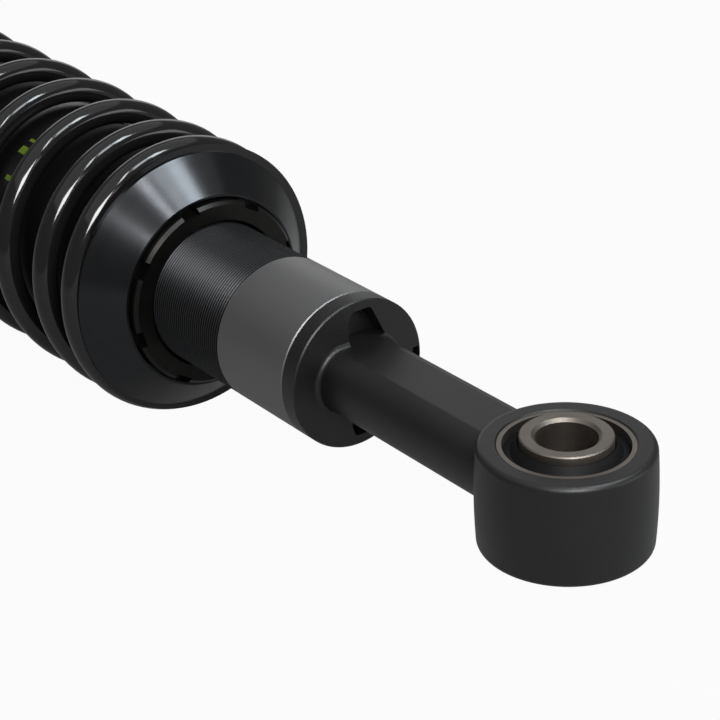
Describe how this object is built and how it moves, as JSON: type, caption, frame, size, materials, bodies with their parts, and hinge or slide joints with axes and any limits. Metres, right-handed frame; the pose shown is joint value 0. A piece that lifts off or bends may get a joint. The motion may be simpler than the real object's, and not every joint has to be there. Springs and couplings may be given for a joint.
{
  "type": "shock absorber",
  "caption": "Coil-over damper with an eye and spherical bearing at each end, a threaded tube with a slotted adjuster ring, a conical spring seat and a wide coil spring.",
  "frame": {"origin": "centre of the lower eye's bearing, on the axis of its bolt bore", "axes": "+X along the damper from the lower eye to the rod and the upper eye, +Z along the lower bolt bore"},
  "size_m": [0.479, 0.082, 0.082],
  "materials": {
    "forging": "semi-gloss black paint",
    "anodised_black": "matt black anodised",
    "bearing_steel": "ground",
    "steel": "bright turned steel",
    "spring_steel": "gloss black paint",
    "chromed_rod": "ground and chromed",
    "bare_aluminium": "turned",
    "bush_bronze": "plain",
    "black_rubber": "moulded",
    "foam_rubber": "cellular",
    "wear_band": "filled PTFE",
    "label_film": "printed film with plain lime bars",
    "sleeve_plastic": "moulded black"
  },
  "bodies": {
    "cylinder": {"lower_eye_fitting": "forging", "gas_fill_screw": "steel", "end_cap_o_ring": "black_rubber", "damper_tube": "anodised_black", "rod_guide": "bare_aluminium", "rod_guide_o_ring": "black_rubber", "rod_guide_bush": "bush_bronze", "rod_seal": "black_rubber", "head_retaining_ring": "steel", "dust_cap": "anodised_black", "rod_wiper": "black_rubber", "lower_bearing_race": "bearing_steel", "lower_bearing_seals": "black_rubber"},
    "rod": {"piston_rod": "chromed_rod", "main_piston": "steel", "piston_band": "wear_band", "compression_shims": "steel", "rebound_shims": "steel", "shim_washers": "steel", "piston_nut": "steel", "top_out_cushion": "black_rubber", "bump_stop_washer": "steel", "bump_stop": "foam_rubber", "spring_retainer": "anodised_black", "upper_eye_fitting": "forging", "upper_bearing_race": "bearing_steel", "upper_bearing_seals": "black_rubber"},
    "separator": {"floating_piston": "bare_aluminium", "floating_piston_o_ring": "black_rubber"},
    "seat": {"spring_seat": "anodised_black", "coil_spring": "spring_steel", "spring_sleeve": "sleeve_plastic", "sleeve_label": "label_film"},
    "ring": {"adjuster_ring": "anodised_black"},
    "lower_ball": {"lower_bearing_ball": "bearing_steel"},
    "upper_ball": {"upper_bearing_ball": "bearing_steel"}
  },
  "joints": [
    {"name": "damper_stroke", "type": "slide", "parent": "cylinder", "child": "rod", "axis": [-1, 0, 0], "range_m": [0, 0.08], "stiffness_N_per_m": 7800, "springref_m": -0.005, "deforming": ["coil_spring"]},
    {"name": "floating_piston_slide", "type": "slide", "parent": "cylinder", "child": "separator", "axis": [-1, 0, 0], "range_m": [0, 0.0122]},
    {"name": "spring_seat_slide", "type": "slide", "parent": "cylinder", "child": "seat", "axis": [-1, 0, 0], "range_m": [0, 0.03]},
    {"name": "adjuster_ring_turn", "type": "hinge", "parent": "seat", "child": "ring", "pos_m": [0.15, 0, 0], "axis": [-1, 0, 0], "range_deg": [0, 10800]},
    {"name": "lower_ball_swivel", "type": "hinge", "parent": "cylinder", "child": "lower_ball", "pos_m": [0, 0, 0], "axis": [0, 0, 1], "continuous": true},
    {"name": "upper_ball_swivel", "type": "hinge", "parent": "rod", "child": "upper_ball", "pos_m": [0.43543, 0, 0], "axis": [0, 0, 1], "continuous": true}
  ],
  "couplings": [
    {"joint": "floating_piston_slide", "follows": "damper_stroke", "ratio": 0.15124},
    {"joint": "adjuster_ring_turn", "follows": "spring_seat_slide", "rad_per_m": 6283.2}
  ]
}
